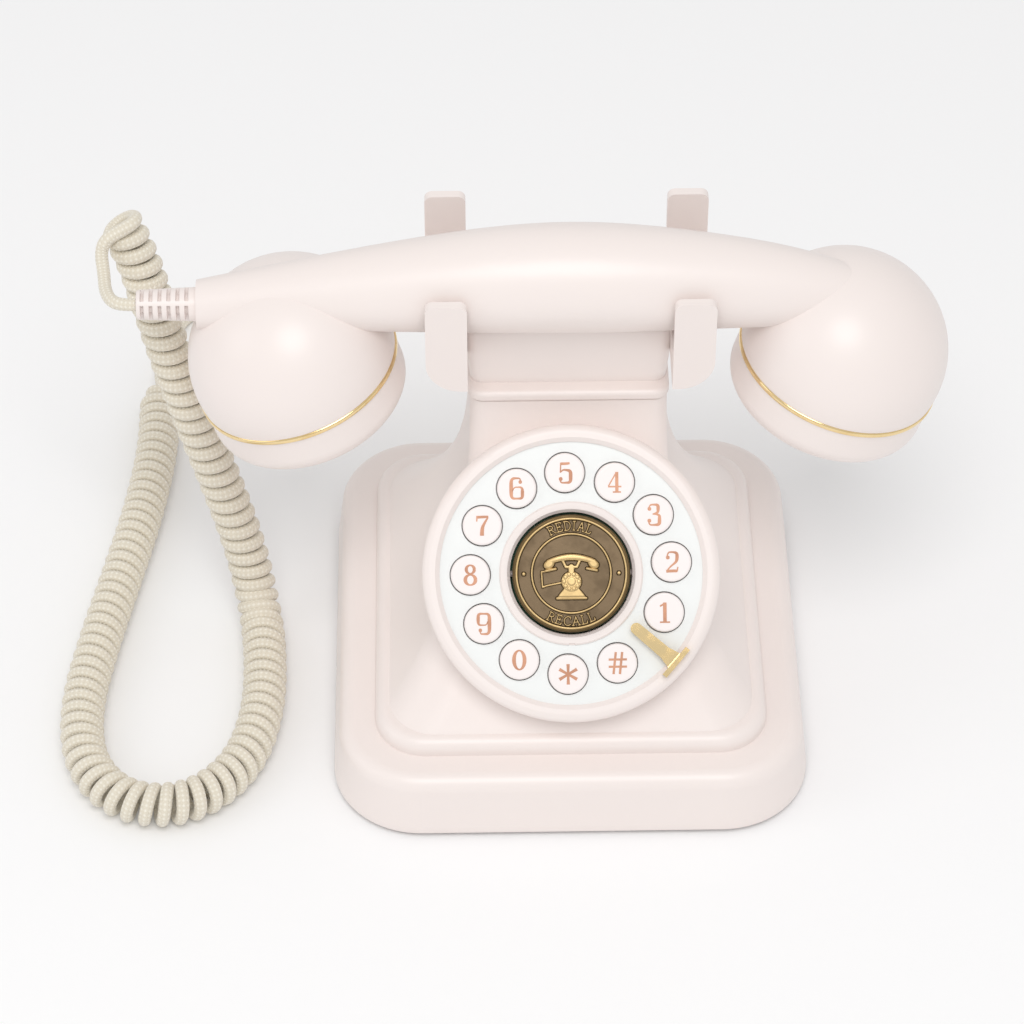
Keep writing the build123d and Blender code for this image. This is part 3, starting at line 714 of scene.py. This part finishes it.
def print_on_key(name, strokes):
    """One numeral on its key. A later stroke lies a little higher, so that no two tops share a plane."""
    key_low, key_high = (np.array(corner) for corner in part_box(f"key_{name}"))
    middle_of_key = (key_low + key_high) / 2 - DIAL_CENTRE
    key_across, key_up = middle_of_key @ DIAL_RIGHT, middle_of_key @ DIAL_UP
    points, faces, caps, count = [], [], [], 0
    for index, one in enumerate(strokes):
        box = ribbon(one, KEY_TOP, KEY_TOP + PRINT_THICK * (1 + LAYER_RISE * index))
        placed = on_dial(key_across + (box[..., 0] - NUMERAL_MIDDLE[0]) * NUMERAL_HIGH,
                         key_up + (box[..., 1] - NUMERAL_MIDDLE[1]) * NUMERAL_HIGH, box[..., 2])
        size = placed.shape[0] * 4
        points.append(placed.reshape(-1, 3))
        faces.append(grid_faces(placed.shape[0], 4, first=count))
        caps += [range(count, count + 4)[::-1], range(count + size - 4, count + size)]
        count += size
    mesh = new_mesh(f"numeral_{name}", np.vstack(points), np.vstack(faces), caps, smooth=False)
    piece = link(f"numeral_{name}", mesh)
    wear(piece, "copper_print")
    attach(piece, f"button_{name}")
    return piece


prints = {name: print_on_key(name, strokes) for name, strokes in numerals.items()}
print("printed keys:", len(prints), "faces on the 8:", len(prints["8"].data.polygons))

# %% [markdown]
# ## The medallion
# The middle of the dial is a struck bronze disc that rocks: its top redials and its bottom recalls. A
# struck relief is a height over a flat disc, so it is worked out as one: a polar grid of points, and a
# height at each from simple shapes. A shape is given by how far inside its outline a point lies, and a
# soft step turns that depth into a raised form. Words and a small telephone are built this way.

# %% Relief helpers (millimetres on the disc)
DISC_RADIUS, DISC_LOW, DISC_HIGH = 18.35, 0.8, 3.4
FIELD_DEEP, EDGE_ROUND, FOOT_BEVEL = 0.75, 0.45, 0.2
FIELD = DISC_HIGH - FIELD_DEEP
RING_ROWS, RING_COLUMNS = 152, 620
CENTRE_HOLE = 0.04
ring_radius = np.linspace(CENTRE_HOLE, DISC_RADIUS - EDGE_ROUND, RING_ROWS)
ring_angle = np.linspace(0, 2 * math.pi, RING_COLUMNS, endpoint=False)
R, A = np.meshgrid(ring_radius, ring_angle, indexing="ij")
X, Y = R * np.cos(A), R * np.sin(A)


def capsule(x, y, start, end, radius):
    """Depth inside a round-ended bar: its radius minus the distance to the segment from start to end."""
    (x0, y0), (x1, y1) = start, end
    span = (x1 - x0) ** 2 + (y1 - y0) ** 2 + 1e-12
    t = np.clip(((x - x0) * (x1 - x0) + (y - y0) * (y1 - y0)) / span, 0, 1)
    return radius - np.hypot(x - x0 - t * (x1 - x0), y - y0 - t * (y1 - y0))


def chain(x, y, corners, radius):
    """Depth inside a bar that follows several corners."""
    return np.max([capsule(x, y, a, b, radius) for a, b in zip(corners, corners[1:])], axis=0)


def oval(x, y, centre, reach, tilt=0.0):
    """Depth inside a tilted oval, about (1 - normalised distance) times its smaller reach."""
    dx, dy = x - centre[0], y - centre[1]
    u = dx * math.cos(tilt) + dy * math.sin(tilt)
    v = dy * math.cos(tilt) - dx * math.sin(tilt)
    return (1 - np.hypot(u / reach[0], v / reach[1])) * min(reach)


def raised(depth, high, soft):
    """A form that climbs from 0 at its outline to high at soft inside it, like a quarter round."""
    t = np.clip(depth / soft, 0, 1)
    return high * np.sqrt(1 - (1 - t) ** 2)


def arc_points(across, up, reach_across, reach_up, start, end, steps=9):
    """Corners along part of an oval, from the start angle to the end angle in degrees."""
    a = np.radians(np.linspace(start, end, steps))
    return list(zip(across + reach_across * np.cos(a), up + reach_up * np.sin(a)))


# %% [markdown]
# The words are the plain names of what the disc does. Each letter is drawn from bars with small feet, in
# units of its height, and the letters are set one after another round a circle.

# %% Letters for the disc
LETTER_STROKE = 0.098
bowl = [(.12, .97)] + arc_points(.34, .74, .26, .23, 90, -90) + [(.12, .51)]
letters = {
    "R": [[(.12, 0), (.12, 1)], [(0, 0), (.26, 0)], [(0, 1), (.12, 1)], bowl,
          [(.34, .51), (.70, 0), (.80, 0)]],
    "E": [[(.12, 0), (.12, 1)], [(0, 0), (.62, 0), (.66, .2)], [(0, 1), (.60, 1), (.62, .82)],
          [(.12, .52), (.46, .52)], [(.46, .40), (.46, .64)]],
    "D": [[(.12, 0), (.12, 1)], [(0, 1), (.26, 1)] + arc_points(.30, .5, .42, .5, 90, -90, 13) + [(0, 0)]],
    "I": [[(.16, 0), (.16, 1)], [(.02, 0), (.30, 0)], [(.02, 1), (.30, 1)]],
    "A": [[(.06, 0), (.40, 1), (.74, 0)], [(.20, .36), (.60, .36)], [(-.04, 0), (.18, 0)],
          [(.62, 0), (.84, 0)]],
    "L": [[(.14, 0), (.14, 1)], [(0, 1), (.28, 1)], [(0, 0), (.58, 0), (.62, .26)]],
    "C": [arc_points(.46, .5, .42, .5, 45, 315, 17), [(.75, .72), (.75, .98)]],
}
advance = {"R": .96, "E": .90, "D": 1.00, "I": .58, "A": 1.00, "L": .86, "C": .98}
OUTSIDE = -9.0


def word(text, low_radius, high, at_top):
    """Depth inside a word that stands on a circle, reading left to right at the top or at the bottom.
    In letter heights, a place is along by its angle times the radius, and up by its distance from the
    letters' feet."""
    total = sum(advance[c] for c in text)
    middle_radius = low_radius + high / 2
    along = math.pi / 2 - A if at_top else A + math.pi / 2
    along = (along + math.pi) % (2 * math.pi) - math.pi
    u = along * middle_radius / high + total / 2
    v = (R - low_radius) / high if at_top else (low_radius + high - R) / high
    depth, begin = np.full(R.shape, OUTSIDE), 0.0
    for letter in text:
        near = (u > begin - 0.3) & (u < begin + 1.2) & (np.abs(v - 0.5) < 0.8)
        for line in letters[letter]:
            inside = high * chain(u[near] - begin, v[near], line, LETTER_STROKE)
            depth[near] = np.maximum(depth[near], inside)
        begin += advance[letter]
    return depth


print("relief grid:", R.shape)

# %% [markdown]
# Round the field run a raised rim and a thinner ring, with the two words between them and a dot at each
# side. The emblem is a small telephone of ovals and bars, the way a die cutter would simplify one.

# %% Outlines of the rim, the words and the emblem
RIM_RADIUS, RIM_HALF, RIM_STEP = 17.05, 0.48, 0.40
INNER_RING, INNER_HALF = 12.3, 0.44
LETTER_FOOT, LETTER_HIGH, DOT_RADIUS = 13.45, 2.75, 14.8
lettering = np.maximum(word("REDIAL", LETTER_FOOT, LETTER_HIGH, True),
                       word("RECALL", LETTER_FOOT, LETTER_HIGH, False))
dots = np.maximum(oval(X, Y, (-DOT_RADIUS, 0), (0.75, 0.75)), oval(X, Y, (DOT_RADIUS, 0), (0.75, 0.75)))

arch = 1.15 - 0.15 * np.abs(X / 8) - np.abs(Y - (5.1 - 0.030 * X ** 2)) * 0.94
handset = np.where(np.abs(X) < 7.6, np.maximum(arch, -1), -1.0)
for side in (-1, 1):
    handset = np.maximum(handset, oval(X, Y, (side * 6.9, 2.9), (2.0, 1.5), -side * 0.5))
    handset = np.maximum(handset, chain(X, Y, [(side * 7.9, 0.9), (side * 4.9, 1.5)], 0.62))
cradle_bar = np.maximum(chain(X, Y, [(-2.6, 3.9), (-1.7, 2.0), (1.7, 2.0), (2.6, 3.9)], 0.62),
                        capsule(X, Y, (0, 2.0), (0, 0.4), 1.1))
skirt_width = 1.9 + 2.6 * ease(-Y, 2.5, 7.6) ** 1.4
skirt = np.minimum(np.minimum(skirt_width - np.abs(X), -Y - 1.0), Y + 7.6)
plinth = capsule(X, Y, (-4.5, -7.7), (4.5, -7.7), 0.6)
emblem_cord = chain(X, Y, [(-7.9, 0.7), (-9.3, 0.6), (-9.0, -4.2), (-7.6, -3.7), (-3.4, -2.9)], 0.40)
DIAL_AT = (0, -2.5)
holes = [(2.3 * math.cos(a), 2.3 * math.sin(a) + DIAL_AT[1]) for a in np.radians(np.arange(0, 360, 36))]
pearls = np.max([oval(X, Y, hole, (0.62, 0.62)) for hole in holes], axis=0)

# %% [markdown]
# Each form has the depth inside its outline, a height and a width for its soft edge. The highest form
# wins at every point, as in a die that is cut form by form, and the dial's pearls are laid on top.

# %% The disc's height
forms = [(RIM_HALF - np.abs(R - RIM_RADIUS), 0.75, 0.42), (INNER_HALF - np.abs(R - INNER_RING), 0.70, 0.36),
         (lettering, 0.66, 0.2), (dots, 0.68, 0.5), (emblem_cord, 0.62, 0.26), (skirt, 0.72, 0.7),
         (plinth, 0.62, 0.45), (cradle_bar, 0.72, 0.5), (handset, 1.02, 0.9),
         (oval(X, Y, DIAL_AT, (3.3, 3.3)), 0.86, 0.5)]
relief = RIM_STEP * ease(R, RIM_RADIUS, RIM_RADIUS + 0.3)
for depth, high, soft in forms:
    relief = np.maximum(relief, raised(depth, high, soft))
relief = relief + raised(pearls, 0.22, 0.4) + raised(oval(X, Y, DIAL_AT, (1.3, 1.3)), 0.16, 0.5)
print("relief up to", round(float(relief.max()), 2), "mm")

# %% [markdown]
# The disc is closed with a rounded shoulder, a wall and a flat underside. How high each point stands is
# stored on the mesh, so that the finish can be brown in the field, in painted shade at the foot of each
# form, and rubbed bright on the ridges.

# %% The disc itself
shoulder = np.radians(np.linspace(12, 90, 6))
shoulder_radius = DISC_RADIUS - EDGE_ROUND + EDGE_ROUND * np.sin(shoulder)
shoulder_height = FIELD + relief[-1].mean() - EDGE_ROUND * (1 - np.cos(shoulder))
edge_radius = np.concatenate([shoulder_radius, [DISC_RADIUS, DISC_RADIUS - FOOT_BEVEL]])
edge_height = np.concatenate([shoulder_height, [DISC_LOW + FOOT_BEVEL, DISC_LOW]])
edge_r = np.repeat(edge_radius[:, None], RING_COLUMNS, axis=1)
disc_r = np.vstack([R, edge_r])
disc_a = np.vstack([A, np.broadcast_to(ring_angle, edge_r.shape)])
disc_height = np.vstack([FIELD + relief, np.repeat(edge_height[:, None], RING_COLUMNS, axis=1)])
disc_points = on_dial(disc_r * np.cos(disc_a) * MM, disc_r * np.sin(disc_a) * MM, disc_height * MM)
disc_rows = disc_r.shape[0]
underside = range((disc_rows - 1) * RING_COLUMNS, disc_rows * RING_COLUMNS)
disc_mesh = new_mesh("struck_medallion", disc_points, grid_faces(disc_rows, RING_COLUMNS)[:, ::-1],
                     caps=[range(RING_COLUMNS), underside[::-1]])
lift = disc_mesh.attributes.new("lift", "FLOAT", "POINT")
edge_lift = np.full(edge_r.shape, 0.5)
lift.data.foreach_set("value", np.vstack([relief / FIELD_DEEP, edge_lift]).ravel().astype(np.float32))
medallion = link("struck_medallion", disc_mesh)
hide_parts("medallion")
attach(medallion, "rocker")
wear(medallion, "antique_bronze")
print("medallion triangles:", sum(len(p.vertices) - 2 for p in disc_mesh.polygons))

# %% [markdown]
# Antique bronze is dipped dark and then rubbed, so its colour follows the height: brown patina in the field
# and bright on top. Where a form rises from the field it is nearly black, and that is painted shade, the
# shade that falls in the crease at each form's foot. A ramp from lift to colour says this.

# %% Patina, painted shade at the foot of each form, and bright ridges
bronze = looks["antique_bronze"].node_tree
level = add(bronze, "Attribute", {"attribute_name": "lift"})
patina_and_shade_tones = add(bronze, "ValToRGB", Fac=level.outputs["Fac"])
field_tone, top_tone = patina_and_shade_tones.color_ramp.elements
field_tone.position, field_tone.color = 0.0, (0.165, 0.118, 0.072, 1)
top_tone.position, top_tone.color = 1.0, (0.66, 0.48, 0.235, 1)
# The stop at 0.2 is painted shade, nearly black in the crease at the foot of each form; the other stops are
# the patina's own tones.
for position, colour in ((0.2, (0.05, 0.034, 0.018, 1)), (0.56, (0.13, 0.088, 0.042, 1)),
                         (0.8, (0.46, 0.325, 0.155, 1))):
    patina_and_shade_tones.color_ramp.elements.new(position).color = colour
bronze.links.new(patina_and_shade_tones.outputs["Color"], bronze.nodes["Principled BSDF"].inputs["Base Color"])
print("bronze tones:", len(patina_and_shade_tones.color_ramp.elements))
